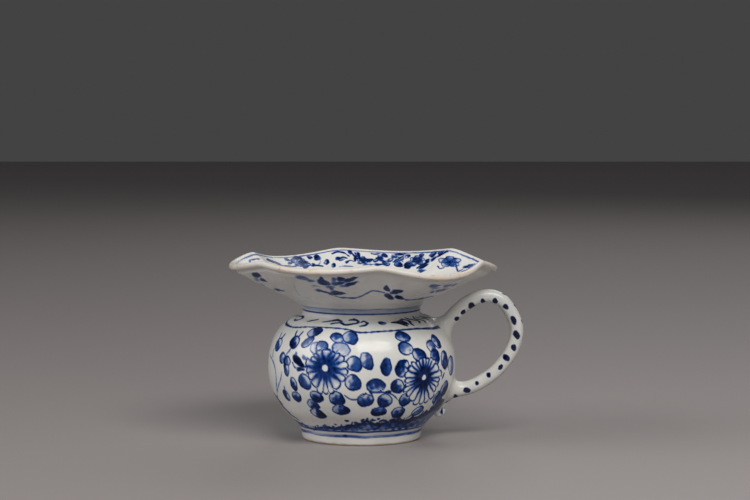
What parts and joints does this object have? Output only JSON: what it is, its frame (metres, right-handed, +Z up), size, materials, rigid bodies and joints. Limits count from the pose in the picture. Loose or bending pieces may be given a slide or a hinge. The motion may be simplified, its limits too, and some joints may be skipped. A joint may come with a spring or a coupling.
{
  "type": "handled porcelain pot",
  "caption": "Small blue-and-white porcelain pot with a rounded body on a foot ring, a wide lobed funnel mouth and a loop handle with a curled tail.",
  "frame": {"origin": "on the surface that the foot ring rests on, under the middle of the whole pot's box; the pot's own axis is the vertical line through x = -0.006875, y = 0", "axes": "+Z up; +X from the pot's axis towards the handle; +Y across, away from a viewer who has the handle on the right"},
  "size_m": [0.1374, 0.1231, 0.086],
  "materials": {
    "body_glaze": "gloss",
    "mouth_glaze": "gloss",
    "foot_glaze": "gloss, unglazed on the resting face",
    "handle_glaze": "gloss",
    "slip_glaze": "gloss"
  },
  "bodies": {
    "root": {"body": "body_glaze", "foot_ring": "foot_glaze", "foot_slip_seam": "slip_glaze", "neck_slip_seam": "slip_glaze", "mouth_flange": "mouth_glaze", "handle": "handle_glaze", "handle_tail_curl": "handle_glaze", "upper_handle_slip": "slip_glaze", "lower_handle_slip": "slip_glaze"}
  },
  "joints": []
}
